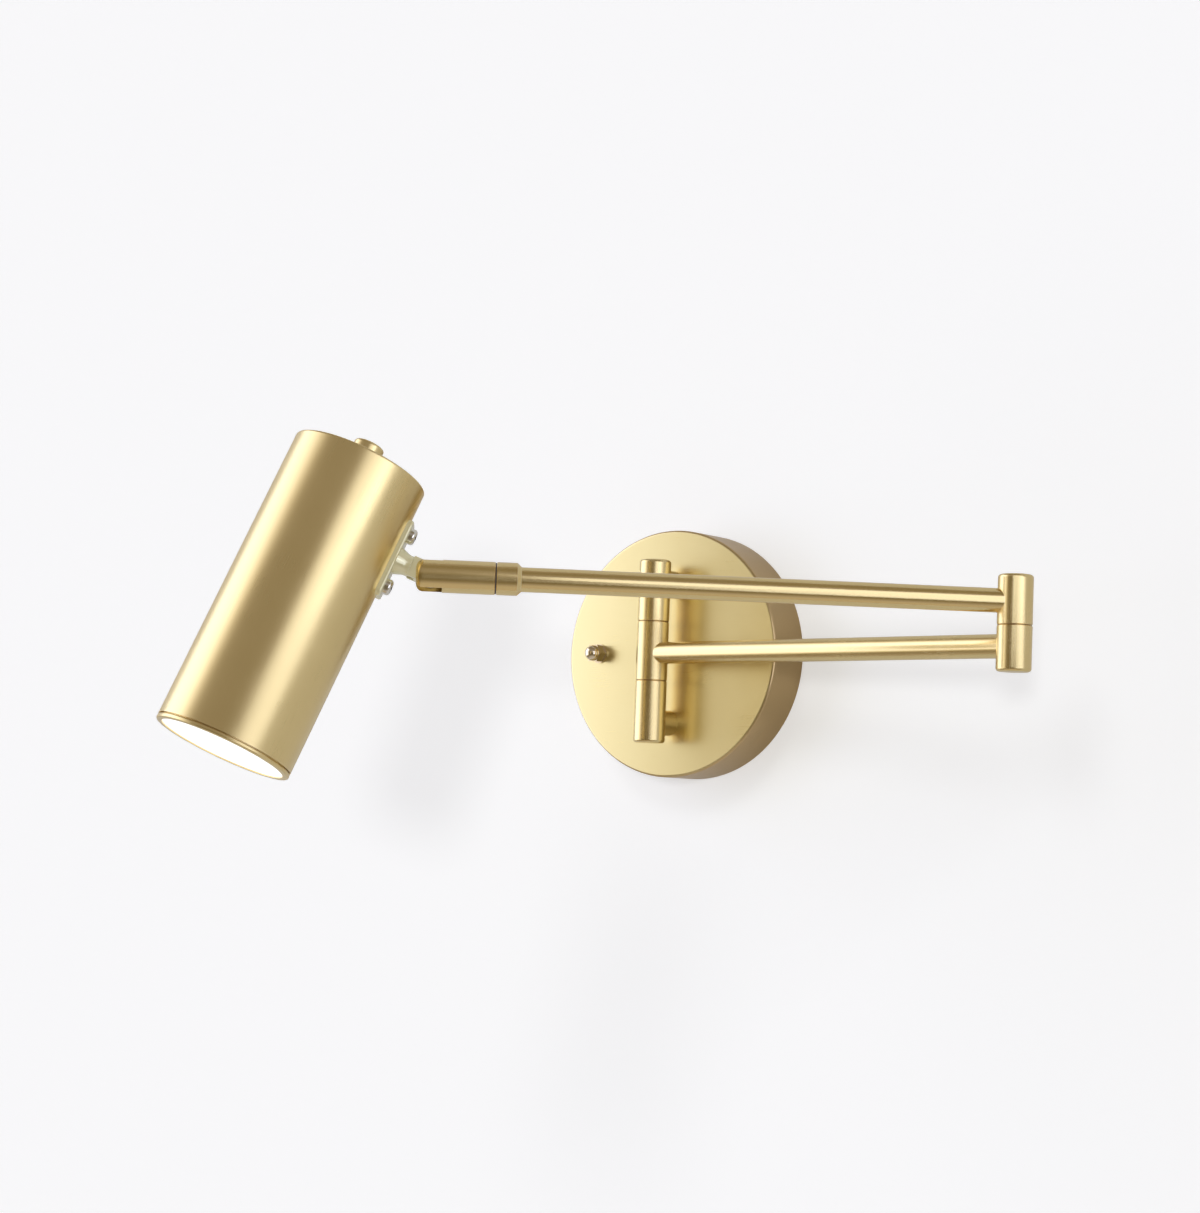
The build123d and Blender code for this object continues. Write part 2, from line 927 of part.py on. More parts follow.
def make_head_bracket():
    flare_start = bracket_standoff - bracket_flare_height
    with BuildPart() as bracket:
        with BuildSketch(face_x(head_frame, x=bracket_standoff)):
            RectangleRounded(bracket_plate_width, bracket_plate_length, bracket_plate_corner)
        slab = extrude(amount=bracket_plate_thickness + shell_sag)
        outer_face = slab.faces().sort_by_distance(face_x(head_frame).origin)[0]
        fillet(outer_face.edges(), bracket_plate_edge_round)
        shade_cut = place(shade_frame, z=-bracket_plate_length)
        rod(shade_cut, head_radius, 2 * bracket_plate_length, Mode.SUBTRACT)
        with BuildSketch(face_y(head_frame, y=-tongue_half)):
            Circle(tongue_radius)
            with Locations((0, bracket_neck_start / 2)):
                Rectangle(2 * tongue_radius, bracket_neck_start)
        extrude(amount=2 * tongue_half)
        turned(
            face_x(head_frame),
            [
                (0, bracket_neck_start),
                (bracket_neck_radius, bracket_neck_start),
                (bracket_neck_radius, flare_start),
                (bracket_flare_radius, bracket_standoff),
                (0, bracket_standoff),
            ],
            rounds=[((bracket_neck_radius, flare_start), bracket_neck_round)],
        )
        near_side = face_y(head_frame, y=-tongue_half)
        rod(near_side, tilt_screw_radius + running_clearance, 2 * tongue_half, Mode.SUBTRACT)
        with BuildSketch(face_x(head_frame, x=bracket_standoff)):
            with GridLocations(0, bracket_screw_spacing, 1, 2):
                Circle(bracket_screw_radius + hole_clearance)
        extrude(amount=bracket_plate_thickness + shell_sag, mode=Mode.SUBTRACT)
        channel = face_x(head_frame, x=bracket_channel_floor)
        rod(channel, bracket_channel_radius, bracket_standoff, Mode.SUBTRACT)
        exit_hole = place_down(head_frame, x=bracket_channel_floor + bracket_channel_radius)
        rod(exit_hole, bracket_channel_radius, 2 * tongue_radius, Mode.SUBTRACT)
    return bracket.part


def make_bracket_screws():
    head_start = bracket_standoff - bracket_screw_head_height
    shank_end = inner_plate_end + bracket_screw_past
    with BuildPart() as screws:
        for level in (-bracket_screw_reach, bracket_screw_reach):
            axis_plane = face_x(head_frame, z=level)
            turned(
                axis_plane,
                [
                    (0, head_start),
                    (bracket_screw_head_radius, head_start),
                    (bracket_screw_head_radius, bracket_standoff),
                    (bracket_screw_radius, bracket_standoff),
                    (bracket_screw_radius, shank_end),
                    (0, shank_end),
                ],
                rounds=[((bracket_screw_head_radius, head_start), bracket_screw_head_round)],
            )
            with BuildSketch(face_x(head_frame, x=head_start, z=level)) as cross:
                Rectangle(recess_length, recess_width)
                Rectangle(recess_width, recess_length)
            extrude(cross.sketch, amount=recess_depth, mode=Mode.SUBTRACT)
    return screws.part


def make_bracket_backing_plate():
    plate_start = bracket_standoff + bracket_plate_thickness
    with BuildPart() as plate:
        with BuildSketch(face_x(head_frame, x=plate_start)):
            RectangleRounded(inner_plate_width, inner_plate_length, bracket_plate_corner)
            with GridLocations(0, bracket_screw_spacing, 1, 2):
                Circle(bracket_screw_radius + thread_clearance, mode=Mode.SUBTRACT)
            Circle(lead_hole_radius, mode=Mode.SUBTRACT)
        extrude(amount=inner_plate_end - plate_start)
        rod(
            place(shade_frame, z=-inner_plate_length),
            shell_inner,
            2 * inner_plate_length,
            Mode.INTERSECT,
        )
    return plate.part


head_bottom = -head_below_foot
shell_bottom = head_bottom + bezel_bead_height + bezel_groove
shell_top_inside = head_above_foot - head_top_thickness


def make_head_shell():
    with BuildPart() as shell:
        turned(
            shade_frame,
            [
                (0, head_above_foot),
                (head_radius, head_above_foot),
                (head_radius, shell_bottom),
                (shell_inner, shell_bottom),
                (shell_inner, shell_top_inside),
                (0, shell_top_inside),
            ],
            rounds=[((head_radius, head_above_foot), head_top_round)],
        )
        bush_hole = place(shade_frame, z=shell_top_inside)
        rod(bush_hole, switch_bush_radius + hole_clearance, head_top_thickness, Mode.SUBTRACT)
        foot_length = head_wall + shell_sag
        for level in (-bracket_screw_reach, bracket_screw_reach):
            hole = face_x(head_frame, x=bracket_standoff + bracket_plate_thickness, z=level)
            rod(hole, bracket_screw_radius + hole_clearance, foot_length, Mode.SUBTRACT)
        lead_hole = face_x(head_frame, x=bracket_standoff + bracket_plate_thickness)
        rod(lead_hole, lead_hole_radius, foot_length, Mode.SUBTRACT)
    return shell.part


def make_rotary_switch():
    bush_top = head_above_foot + switch_bush_height
    body_bottom = shell_top_inside - switch_body_height
    with BuildPart() as switch:
        rod(place(shade_frame, z=body_bottom), switch_body_radius, switch_body_height)
        rod(place(shade_frame, z=body_bottom), switch_bush_radius, bush_top - body_bottom)
        shaft_hole = place(shade_frame, z=head_above_foot - shaft_inside)
        rod(shaft_hole, shaft_radius + running_clearance, shaft_inside + switch_bush_height, Mode.SUBTRACT)
    return switch.part


def make_switch_dress_nut():
    with BuildPart() as dress_nut:
        ring(
            place(shade_frame, z=head_above_foot),
            dress_nut_radius,
            switch_bush_radius + thread_clearance,
            dress_nut_height,
        )
    return dress_nut.part


knob_base = head_above_foot + knob_lift
knob_top = knob_base + knob_height
shaft_top = knob_top - knob_top_thickness


def make_switch_shaft():
    foot = head_above_foot - shaft_inside + running_clearance
    with BuildPart() as shaft:
        rod(place(shade_frame, z=foot), shaft_radius, shaft_top - foot)
    return shaft.part


def make_switch_knob():
    bush_gap_top = head_above_foot + switch_bush_height + end_gap
    with BuildPart() as knob:
        turned(
            shade_frame,
            [
                (0, knob_base),
                (knob_radius, knob_base),
                (knob_radius, knob_top),
                (0, knob_top),
            ],
            rounds=[((knob_radius, knob_top), knob_edge_round)],
        )
        base = place(shade_frame, z=knob_base)
        rod(base, knob_recess_radius, bush_gap_top - knob_base, Mode.SUBTRACT)
        rod(base, shaft_radius + thread_clearance, shaft_top - knob_base, Mode.SUBTRACT)
    return knob.part


sink_top = -sink_drop
board_top = sink_top - sink_base_thickness
board_bottom = board_top - board_thickness
emitter_bottom = board_bottom - emitter_thickness
bead_top = head_bottom + bezel_bead_height
ledge_bottom = head_bottom + diffuser_recess + diffuser_thickness


def make_heat_sink():
    fin_start = sink_core_radius - sink_fin_thickness
    fin_length = sink_fin_reach - fin_start
    half_step = 180 / sink_fin_count
    with BuildPart() as sink:
        rod(place_down(shade_frame, z=sink_top), shell_inner - running_clearance, sink_base_thickness)
        with BuildSketch(place(shade_frame, z=sink_top)):
            Circle(sink_core_radius)
            with PolarLocations(fin_start + fin_length / 2, sink_fin_count, start_angle=half_step):
                Rectangle(fin_length, sink_fin_thickness)
        extrude(amount=sink_fin_height)
        lead_hole = place_down(shade_frame, x=-lead_offset, z=sink_top)
        rod(lead_hole, lead_hole_radius, sink_base_thickness, Mode.SUBTRACT)
        with BuildSketch(place_down(shade_frame, z=board_top)):
            with GridLocations(0, board_screw_spacing, 1, 2):
                Circle(board_screw_radius + thread_clearance)
        extrude(amount=-board_screw_depth - end_gap, mode=Mode.SUBTRACT)
    return sink.part


def make_led_board():
    with BuildPart() as board:
        with BuildSketch(place_down(shade_frame, z=board_top)):
            Circle(board_radius)
            with GridLocations(0, board_screw_spacing, 1, 2):
                Circle(board_screw_radius + hole_clearance, mode=Mode.SUBTRACT)
        extrude(amount=board_thickness)
    return board.part


def make_led_emitter():
    with BuildPart() as emitter:
        rod(place_down(shade_frame, z=board_bottom), emitter_radius, emitter_thickness)
    return emitter.part


def make_board_screws():
    half = board_screw_spacing / 2
    with BuildPart() as screws:
        for side in (-half, half):
            head = place_down(shade_frame, y=side, z=board_bottom)
            shank = place(shade_frame, y=side, z=board_bottom)
            rod(head, board_screw_head_radius, board_screw_head_height)
            rod(shank, board_screw_radius, board_thickness + board_screw_depth)
    return screws.part


def make_reflector():
    rim_radius = shell_inner - bezel_sleeve_wall - 2 * running_clearance
    rim_top = ledge_bottom + reflector_rim_height
    with BuildPart() as reflector:
        turned(
            shade_frame,
            [
                (reflector_throat_radius, board_bottom),
                (reflector_throat_radius + reflector_wall, board_bottom),
                (reflector_mouth_radius, rim_top),
                (rim_radius, rim_top),
                (rim_radius, ledge_bottom),
                (reflector_mouth_radius - reflector_wall, ledge_bottom),
            ],
        )
    return reflector.part


def make_bezel_ring():
    sleeve_outer = shell_inner - running_clearance
    sleeve_inner = shell_inner - bezel_sleeve_wall
    pocket_radius = head_radius - bezel_lip
    with BuildPart() as bezel:
        turned(
            shade_frame,
            [
                (pocket_radius, head_bottom),
                (head_radius, head_bottom),
                (head_radius, bead_top),
                (sleeve_outer, bead_top),
                (sleeve_outer, bead_top + bezel_sleeve_height),
                (sleeve_inner, bead_top + bezel_sleeve_height),
                (sleeve_inner, ledge_bottom),
                (pocket_radius, ledge_bottom),
            ],
            rounds=[
                ((head_radius, head_bottom), bezel_bead_round),
                ((head_radius, bead_top), bezel_bead_round),
            ],
        )
    return bezel.part


def make_diffuser():
    with BuildPart() as diffuser:
        rod(
            place_down(shade_frame, z=ledge_bottom),
            head_radius - bezel_lip - running_clearance,
            diffuser_thickness,
        )
    return diffuser.part


lead_turn = head_reach - lead_offset
lead_start = bracket_channel_floor + 2 * bracket_channel_radius


def make_head_lead():
    return wire(
        [
            head_frame.from_local_coords(Vector(lead_start, 0, 0)),
            head_frame.from_local_coords(Vector(lead_turn, 0, 0)),
            head_frame.from_local_coords(Vector(lead_turn, 0, board_top)),
        ],
        wire_radius,
        wire_bend,
    )


def make_switch_lead():
    level = shell_top_inside - switch_body_height
    side = switch_body_radius - wire_radius
    return wire(
        [
            shade_frame.from_local_coords(Vector(side, 0, level)),
            shade_frame.from_local_coords(Vector(side, 0, sink_top + sink_fin_height)),
        ],
        wire_radius,
        wire_bend,
    )


save(make_mounting_strap(), "mounting_strap")
save(make_ground_screw(), "ground_screw")
save(make_canopy_studs(), "canopy_studs")
save(make_stud_lock_nuts(), "stud_lock_nuts")
save(make_wall_canopy(), "wall_canopy")
save(make_cap_nut_washers(), "cap_nut_washers")
save(make_canopy_cap_nuts(), "canopy_cap_nuts")
save(make_post_backing_plate(), "post_backing_plate")
save(make_post_lock_washers(), "post_lock_washers")
save(make_post_nuts(), "post_nuts")
save(make_post(post_level), "upper_post")
save(make_post(-post_level), "lower_post")
save(make_column_piece(1), "column_top")
save(make_column_piece(-1), "column_bottom")
save(make_column_axle(), "column_axle")
save(make_column_washers(), "column_washers")
save(make_led_driver(), "led_driver")
save(make_terminal_block(), "terminal_block")
save(make_terminal_screws(), "terminal_screws")
save(make_driver_input_lead(), "driver_input_lead")
save(make_base_wire(), "base_wire")
save(make_lower_arm_hub(), "lower_arm_hub")
save(make_lower_arm_tube(), "lower_arm_tube")
save(make_elbow_lower_knuckle(), "elbow_lower_knuckle")
save(make_elbow_pin(), "elbow_pin")
save(make_elbow_washer(), "elbow_washer")
save(make_elbow_spring_washer(), "elbow_spring_washer")
save(make_elbow_nut(), "elbow_nut")
save(make_lower_arm_wire(), "lower_arm_wire")
save(make_elbow_upper_knuckle(), "elbow_upper_knuckle")
save(make_elbow_cap(), "elbow_cap")
save(make_upper_arm_tube(), "upper_arm_tube")
save(make_swivel_collar(), "swivel_collar")
save(make_upper_arm_wire(), "upper_arm_wire")
save(make_swivel_barrel(), "swivel_barrel")
save(make_swivel_stem(), "swivel_stem")
save(make_swivel_washer(), "swivel_washer")
save(make_seam_washer(), "seam_washer")
save(make_tilt_screw(), "tilt_screw")
save(make_tilt_washers(), "tilt_washers")
save(make_head_bracket(), "head_bracket")
save(make_bracket_screws(), "bracket_screws")
save(make_bracket_backing_plate(), "bracket_backing_plate")
save(make_head_shell(), "head_shell")
save(make_rotary_switch(), "rotary_switch")
save(make_switch_dress_nut(), "switch_dress_nut")
save(make_switch_shaft(), "switch_shaft")
save(make_switch_knob(), "switch_knob")
save(make_heat_sink(), "heat_sink")
save(make_led_board(), "led_board")
save(make_led_emitter(), "led_emitter")
save(make_board_screws(), "board_screws")
save(make_reflector(), "reflector")
save(make_bezel_ring(), "bezel_ring")
save(make_diffuser(), "diffuser")
save(make_head_lead(), "head_lead")
save(make_switch_lead(), "switch_lead")
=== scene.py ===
import json
from math import cos, degrees, pi, radians, sin

import bpy
from mathutils import Matrix, Quaternion, Vector


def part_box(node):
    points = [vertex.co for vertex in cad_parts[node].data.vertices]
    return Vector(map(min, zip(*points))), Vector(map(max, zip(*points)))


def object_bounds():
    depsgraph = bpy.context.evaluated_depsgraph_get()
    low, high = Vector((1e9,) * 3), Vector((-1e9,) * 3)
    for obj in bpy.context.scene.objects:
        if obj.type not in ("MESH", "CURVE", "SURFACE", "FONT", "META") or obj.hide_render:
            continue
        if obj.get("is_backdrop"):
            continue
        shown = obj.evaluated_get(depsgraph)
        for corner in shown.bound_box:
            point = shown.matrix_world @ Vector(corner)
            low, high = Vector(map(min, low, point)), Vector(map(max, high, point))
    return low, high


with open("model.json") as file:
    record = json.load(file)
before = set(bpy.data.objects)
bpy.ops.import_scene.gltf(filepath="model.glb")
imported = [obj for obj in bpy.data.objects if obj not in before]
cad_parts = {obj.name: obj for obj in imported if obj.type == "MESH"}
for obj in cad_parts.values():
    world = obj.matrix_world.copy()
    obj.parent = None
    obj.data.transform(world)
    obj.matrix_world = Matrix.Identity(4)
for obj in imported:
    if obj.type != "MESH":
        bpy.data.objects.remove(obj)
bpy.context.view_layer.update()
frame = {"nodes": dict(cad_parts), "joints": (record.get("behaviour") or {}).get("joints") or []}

nodes = frame["nodes"]


# ---- Shader nodes ----

class Value:
    """One socket of a node tree, with arithmetic that adds Math and Vector Math nodes."""

    def __init__(self, tree, socket):
        self.tree = tree
        self.socket = socket

    def node(self, kind, inputs=(), output=0, **settings):
        made = self.tree.nodes.new(kind)
        for name, setting in settings.items():
            setattr(made, name, setting)
        for key, value in dict(inputs).items():
            target = made.inputs[key]
            if isinstance(value, Value):
                self.tree.links.new(value.socket, target)
            else:
                target.default_value = value
        return Value(self.tree, made.outputs[output])

    def math(self, operation, other=0.0, clamp=False):
        return self.node("ShaderNodeMath", {0: self, 1: other}, operation=operation, use_clamp=clamp)

    def length(self):
        return self.node("ShaderNodeVectorMath", {0: self}, output=1, operation="LENGTH")

    def __add__(self, other):
        return self.math("ADD", other)

    def __sub__(self, other):
        return self.math("SUBTRACT", other)

    def __rsub__(self, other):
        return (self * -1.0).math("ADD", other)

    def __mul__(self, other):
        return self.math("MULTIPLY", other)

    def __neg__(self):
        return self.math("MULTIPLY", -1.0)

    def step(self, start, end, low=0.0, high=1.0):
        """Smooth ramp from low to high as the value goes from start to end."""
        return self.node(
            "ShaderNodeMapRange",
            {0: self, 1: start, 2: end, 3: low, 4: high},
            interpolation_type="SMOOTHSTEP",
        )

    def scaled(self, x, y, z):
        return self.node("ShaderNodeVectorMath", {0: self, 1: (x, y, z)}, operation="MULTIPLY")

    def noise(self, scale, detail=3.0, roughness=0.5):
        return self.node(
            "ShaderNodeTexNoise",
            {"Vector": self, "Scale": scale, "Detail": detail, "Roughness": roughness},
        )

    def along(self, direction):
        """Distance along a direction."""
        return self.node("ShaderNodeVectorMath", {0: self, 1: direction}, output=1, operation="DOT_PRODUCT")

    def mixed(self, low, high):
        """Colour from low to high as the value goes from 0 to 1."""
        made = self.tree.nodes.new("ShaderNodeMix")
        made.data_type = "RGBA"
        self.tree.links.new(self.socket, made.inputs[0])
        for index, value in ((6, low), (7, high)):
            if isinstance(value, Value):
                self.tree.links.new(value.socket, made.inputs[index])
            else:
                made.inputs[index].default_value = (*value, 1.0)
        return Value(self.tree, made.outputs[2])


def new_material(name, metallic=0.0, **constants):
    """Principled material: returns it, its shader, and the Object coordinates."""
    material = bpy.data.materials.new(name)
    material.use_nodes = True
    tree = material.node_tree
    shader = tree.nodes["Principled BSDF"]
    shader.inputs["Metallic"].default_value = metallic
    for key, value in constants.items():
        shader.inputs[key.replace("_", " ")].default_value = value
    place = Value(tree, tree.nodes.new("ShaderNodeTexCoord").outputs["Object"])
    return material, shader, place


def toned(colour, share, lift=0.0):
    """The colour times a share, plus a lift, with each part at most 1."""
    return tuple(min(1.0, part * share + lift) for part in colour)


def feed(shader, name, value):
    value.tree.links.new(value.socket, shader.inputs[name])


def bump(shader, height, strength, distance):
    made = height.node(
        "ShaderNodeBump", {"Strength": strength, "Distance": distance, "Height": height}
    )
    feed(shader, "Normal", made)
    return made


def edge_wear(place, radius=0.0006):
    """0 on open faces and up to 1 along edges, from the angle between true and rounded normals."""
    rounded = place.node("ShaderNodeBevel", {"Radius": radius}, samples=4)
    plain = Value(place.tree, place.tree.nodes.new("ShaderNodeNewGeometry").outputs["Normal"])
    meet = rounded.node("ShaderNodeVectorMath", {0: rounded, 1: plain}, output=1, operation="DOT_PRODUCT")
    return (1.0 - meet).step(0.004, 0.12)


# ---- Frames of the rest pose, in metres ----

def body_frame(origin, x_axis, z_axis):
    """Matrix whose columns are a frame's x, y and z axes and its origin."""
    x = Vector(x_axis).normalized()
    z = Vector(z_axis).normalized()
    y = z.cross(x)
    matrix = Matrix((x, y, z)).transposed().to_4x4()
    matrix.translation = Vector(origin)
    return matrix


joints = {joint["name"]: joint for joint in frame["joints"]}
head_up = Vector(joints["switch_turn"]["axis"]).normalized()
arm_axis = Vector(joints["barrel_roll"]["axis"]).normalized()
column_foot = Vector(joints["wall_swivel"]["pos_m"])
elbow_foot = Vector(joints["elbow_swivel"]["pos_m"])
lower_axis = Vector((elbow_foot.x - column_foot.x, elbow_foot.y - column_foot.y, 0)).normalized()
up = Vector((0, 0, 1))


# ---- Metals ----

BRASS_DEEP = (0.785, 0.61, 0.28)
BRASS_PALE = (0.875, 0.69, 0.335)
BRASS_EDGE = (0.95, 0.78, 0.5)
# Painted shade: the darker canopy rim colour and the radii where it fades in, standing in for the rim's dim
# reflection.
CANOPY_RIM_PAINTED_SHADE = (0.61, 0.42, 0.21)
CANOPY_RIM_SHADE_RADII = (0.0587, 0.0597)
LINES_ACROSS = 5200.0
LINES_ALONG = 60.0


def brushed_brass(
    name, grain_axis, roughness=0.3, grain=0.5, deep=BRASS_DEEP, pale=BRASS_PALE, crown=0.0
):
    """Satin brass with fine brushing along grain_axis, cloudy lacquer and slightly brighter edges.

    A crown is for the canopy: its face swells a little, by a height that falls off with the square of
    the radius, and its rim gets a painted shade: a darker colour that stands in for the dim reflection the rim
    shows.
    """
    material, shader, place = new_material(name, metallic=1.0)
    across = Vector(grain_axis).orthogonal().normalized()
    third = Vector(grain_axis).cross(across)
    lines = place.node(
        "ShaderNodeCombineXYZ",
        {
            0: place.along(tuple(across)) * LINES_ACROSS,
            1: place.along(tuple(third)) * LINES_ACROSS,
            2: place.along(tuple(grain_axis)) * LINES_ALONG,
        },
    )
    fine = lines.noise(1.0, detail=3.0, roughness=0.65)
    cloud = place.noise(42.0, detail=4.0)
    specks = place.noise(1900.0, detail=1.0)
    wear = edge_wear(place)
    tone = (fine * 0.45 + cloud * 0.75 - 0.1).math("MULTIPLY", 1.0, clamp=True)
    colour = tone.mixed(deep, pale)
    colour = (wear * 0.35).mixed(colour, BRASS_EDGE)
    feed(shader, "Base Color", colour)
    feed(shader, "Roughness", (fine - 0.5) * 0.10 + (cloud - 0.5) * 0.10 + roughness - wear * 0.06)
    texture = bump(shader, fine * grain + specks * 0.15, 0.10, 0.0001)
    if crown:
        radius = place.scaled(1.0, 0.0, 1.0).length()
        # Painted shade on the canopy rim: the colour darkens toward the rim colour between these radii.
        rim = radius.step(*CANOPY_RIM_SHADE_RADII) * 0.85
        feed(shader, "Base Color", rim.mixed(colour, CANOPY_RIM_PAINTED_SHADE))
        swell = bump(shader, radius * radius * -crown, 1.0, 1.0)
        texture.tree.links.new(swell.socket, texture.socket.node.inputs["Normal"])
        feed(shader, "Normal", texture)
    return material


def polished_brass(name, deep, pale, roughness=0.12, metallic=1.0):
    """Cast and polished pale brass with faint polishing swirls."""
    material, shader, place = new_material(name, metallic=metallic)
    cloud = place.noise(160.0, detail=4.0)
    swirl = place.noise(1400.0, detail=2.0)
    wear = edge_wear(place, 0.0004)
    colour = (cloud * 0.9 + swirl * 0.2).mixed(deep, pale)
    feed(shader, "Base Color", (wear * 0.4).mixed(colour, (1.0, 0.93, 0.76)))
    feed(shader, "Roughness", (cloud - 0.5) * 0.12 + (swirl - 0.5) * 0.05 + roughness)
    bump(shader, cloud * 0.8 + swirl * 0.2, 0.12, 0.0002)
    return material


def bright_metal(name, colour, dark, roughness, noise_scale=500.0, grain=0.1):
    """Plated or plain metal with small tonal and gloss variation."""
    material, shader, place = new_material(name, metallic=1.0)
    cloud = place.noise(noise_scale, detail=4.0)
    fine = place.noise(noise_scale * 9.0, detail=2.0)
    wear = edge_wear(place, 0.0003)
    base = (cloud * 0.8 + fine * 0.2).mixed(dark, colour)
    feed(shader, "Base Color", (wear * 0.5).mixed(base, toned(colour, 1.15)))
    feed(shader, "Roughness", (cloud - 0.5) * 0.14 + (fine - 0.5) * 0.06 + roughness)
    bump(shader, cloud * 0.5 + fine * 0.5, grain, 0.0002)
    return material


# ---- Plastics, glass and wire ----

def moulded_plastic(name, colour, roughness=0.5, grain=0.15):
    """Matte moulded plastic with fine spark grain."""
    material, shader, place = new_material(name)
    grainy = place.noise(2600.0, detail=2.0)
    cloud = place.noise(70.0, detail=3.0)
    wear = edge_wear(place, 0.0004)
    base = (cloud * 0.8 + grainy * 0.2).mixed(toned(colour, 0.86), colour)
    feed(shader, "Base Color", (wear * 0.3).mixed(base, toned(colour, 1.25, 0.02)))
    feed(shader, "Roughness", (grainy - 0.5) * 0.2 + (cloud - 0.5) * 0.1 + roughness)
    bump(shader, grainy, grain, 0.0001)
    return material


def lit_opal(name, colour, strength, centre, reach):
    """Opal lamp cover lit from behind: brightest at the middle, with fine flow specks."""
    material, shader, place = new_material(name, Roughness=0.45)
    speck = place.noise(1500.0, detail=2.0)
    cloud = place.noise(45.0, detail=3.0)
    away = place.node("ShaderNodeVectorMath", {0: place, 1: tuple(centre)}, output=1, operation="DISTANCE")
    glow = away.step(0.0, reach, 1.0, 0.86)
    shade = (cloud * 0.6 + speck * 0.4).mixed(toned(colour, 0.96), colour)
    feed(shader, "Base Color", shade)
    feed(shader, "Emission Color", glow.mixed((0.0, 0.0, 0.0), shade))
    shader.inputs["Emission Strength"].default_value = strength
    bump(shader, speck, 0.05, 0.0001)
    return material


def circuit_board(name):
    """White solder mask with faint copper runs and mask texture."""
    material, shader, place = new_material(name, Roughness=0.4)
    speck = place.noise(2200.0, detail=2.0)
    runs = place.node("ShaderNodeTexVoronoi", {"Vector": place, "Scale": 260.0}, output=0)
    base = (runs * 0.5 + speck * 0.3).mixed((0.72, 0.73, 0.7), (0.92, 0.92, 0.9))
    feed(shader, "Base Color", base)
    bump(shader, speck * 0.5 + runs * 0.5, 0.15, 0.0001)
    return material


wide = (1.0, 0.0, 0.0)
satin_column = brushed_brass("satin_brass_column", (0, 0, 1), roughness=0.26, grain=0.2)
satin_lower = brushed_brass("satin_brass_lower_arm", tuple(lower_axis), roughness=0.26)
satin_upper = brushed_brass("satin_brass_upper_arm", tuple(arm_axis), roughness=0.21)
satin_head = brushed_brass("satin_brass_head", tuple(head_up))
satin_canopy = brushed_brass(
    "satin_brass_canopy", wide, deep=(0.775, 0.65, 0.315), pale=(0.865, 0.74, 0.38), crown=0.5
)
satin_post = brushed_brass("satin_brass_post", (0, 1, 0))
cast_brass = polished_brass("polished_brass", (1.0, 0.94, 0.58), (1.0, 0.98, 0.7), metallic=0.28)
nut_brass = polished_brass("nut_brass", (0.6, 0.45, 0.26), (0.98, 0.89, 0.7), roughness=0.1)
nickel = bright_metal("nickel_plate", (0.92, 0.88, 0.76), (0.66, 0.62, 0.53), 0.1)
zinc = bright_metal("zinc_plated_steel", (0.72, 0.73, 0.75), (0.5, 0.51, 0.53), 0.32, 260.0)
aluminium = bright_metal("heat_sink_aluminium", (0.85, 0.86, 0.88), (0.68, 0.69, 0.71), 0.35, 200.0)
mirror_aluminium = bright_metal("reflector_aluminium", (0.95, 0.95, 0.95), (0.86, 0.86, 0.87), 0.12, 300.0)
white_plastic = moulded_plastic("white_plastic", (0.82, 0.82, 0.8))
black_plastic = moulded_plastic("black_plastic", (0.035, 0.035, 0.037))
nylon = moulded_plastic("dark_nylon", (0.09, 0.08, 0.07), 0.4)
bronze = bright_metal("bronze_washer", (0.42, 0.27, 0.12), (0.3, 0.19, 0.08), 0.4)
insulation = moulded_plastic("wire_insulation", (0.78, 0.78, 0.76), 0.42)
board = circuit_board("led_board")
low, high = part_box("diffuser")
opal = lit_opal("opal_diffuser", (1.0, 0.985, 0.95), 1.0, (low + high) / 2, 0.05)
low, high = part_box("led_emitter")
phosphor = lit_opal("led_phosphor", (1.0, 0.86, 0.42), 1.5, (low + high) / 2, 0.02)

LOOKS = {
    satin_canopy: "wall_canopy",
    satin_post: "upper_post lower_post",
    satin_column: "column_top column_bottom lower_arm_hub elbow_lower_knuckle elbow_upper_knuckle elbow_cap",
    satin_lower: "lower_arm_tube",
    satin_upper: "upper_arm_tube swivel_collar swivel_barrel",
    satin_head: "head_shell bezel_ring switch_knob switch_dress_nut",
    cast_brass: "head_bracket",
    nut_brass: "canopy_cap_nuts cap_nut_washers",
    nickel: "bracket_screws tilt_screw",
    zinc: "mounting_strap ground_screw canopy_studs stud_lock_nuts post_backing_plate post_lock_washers "
    "post_nuts column_axle elbow_pin elbow_spring_washer elbow_nut swivel_stem bracket_backing_plate board_screws "
    "terminal_screws switch_shaft",
    aluminium: "heat_sink",
    mirror_aluminium: "reflector",
    white_plastic: "led_driver terminal_block",
    black_plastic: "rotary_switch",
    nylon: "swivel_washer seam_washer tilt_washers",
    bronze: "column_washers elbow_washer",
    insulation: "driver_input_lead base_wire lower_arm_wire upper_arm_wire head_lead switch_lead",
    board: "led_board",
    opal: "diffuser",
    phosphor: "led_emitter",
}
for material, names in LOOKS.items():
    for name in names.split():
        slots = nodes[name].material_slots
        for index in range(len(slots)):
            slots[index].material = material


# ---- Wall ----

